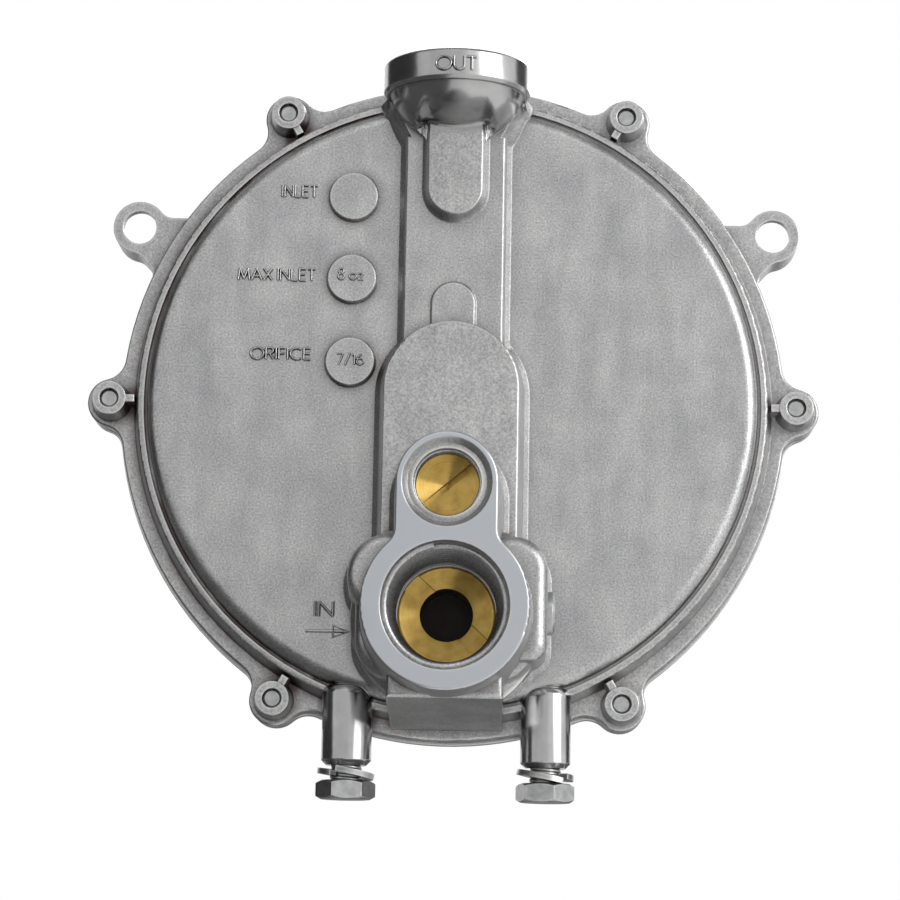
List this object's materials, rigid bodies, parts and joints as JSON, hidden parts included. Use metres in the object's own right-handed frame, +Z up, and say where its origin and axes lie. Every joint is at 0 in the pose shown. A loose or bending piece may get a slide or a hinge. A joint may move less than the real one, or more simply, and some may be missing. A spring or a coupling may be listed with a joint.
{
  "type": "low pressure gas regulator",
  "caption": "Round die-cast diaphragm gas regulator with a threaded front inlet, a top outlet, a brass orifice seat and adjuster, screw lobes, ears and a rear primer button.",
  "frame": {"origin": "midway between the two ear holes, on the back face of the ears", "axes": "+Z up along the outlet bore; the inlet and the front face -Y, and the primer button at the back faces +Y; the diaphragm's axis is 40 mm below the origin"},
  "size_m": [0.1608, 0.079, 0.1599],
  "materials": {
    "cast_aluminium": "die cast, tumbled",
    "sheet_aluminium": "stamped sheet",
    "turned_brass": "turned",
    "zinc_steel": "zinc plated",
    "black_rubber": "matt"
  },
  "bodies": {
    "housing": {"front_body": "cast_aluminium", "rear_cover": "cast_aluminium", "diaphragm_membrane": "black_rubber", "fulcrum_pin": "zinc_steel", "fulcrum_screws": "zinc_steel", "orifice_seat": "turned_brass", "orifice_seal": "black_rubber", "balance_spring": "zinc_steel", "primer_spring": "zinc_steel", "cover_screws": "zinc_steel", "left_bracket_bolt": "zinc_steel", "right_bracket_bolt": "zinc_steel", "left_split_washer": "zinc_steel", "right_split_washer": "zinc_steel", "side_port_plug": "zinc_steel"},
    "diaphragm": {"diaphragm_front_plate": "sheet_aluminium", "diaphragm_rear_plate": "sheet_aluminium", "diaphragm_post": "sheet_aluminium"},
    "lever": {"valve_lever": "zinc_steel", "valve_pad": "black_rubber"},
    "primer": {"primer_button": "turned_brass", "primer_ring": "zinc_steel"},
    "adjuster": {"adjusting_screw": "turned_brass"}
  },
  "joints": [
    {"name": "primer_press", "type": "slide", "parent": "housing", "child": "primer", "axis": [0, -1, 0], "range_m": [0, 0.005], "stiffness_N_per_m": 400, "springref_m": -0.004, "deforming": ["primer_spring"]},
    {"name": "diaphragm_slide", "type": "slide", "parent": "housing", "child": "diaphragm", "axis": [0, -1, 0], "range_m": [0, 0.005], "deforming": ["diaphragm_membrane"]},
    {"name": "lever_swing", "type": "hinge", "parent": "housing", "child": "lever", "pos_m": [0, -0.024, -0.0765], "axis": [1, 0, 0], "range_deg": [0, 8], "deforming": ["balance_spring"]},
    {"name": "adjusting_turn", "type": "hinge", "parent": "housing", "child": "adjuster", "pos_m": [0, -0.0465, -0.0637], "axis": [0, 1, 0], "range_deg": [-360, 360]}
  ],
  "couplings": [
    {"joint": "diaphragm_slide", "follows": "primer_press", "ratio": 1},
    {"joint": "lever_swing", "follows": "primer_press", "rad_per_m": 27.9}
  ]
}
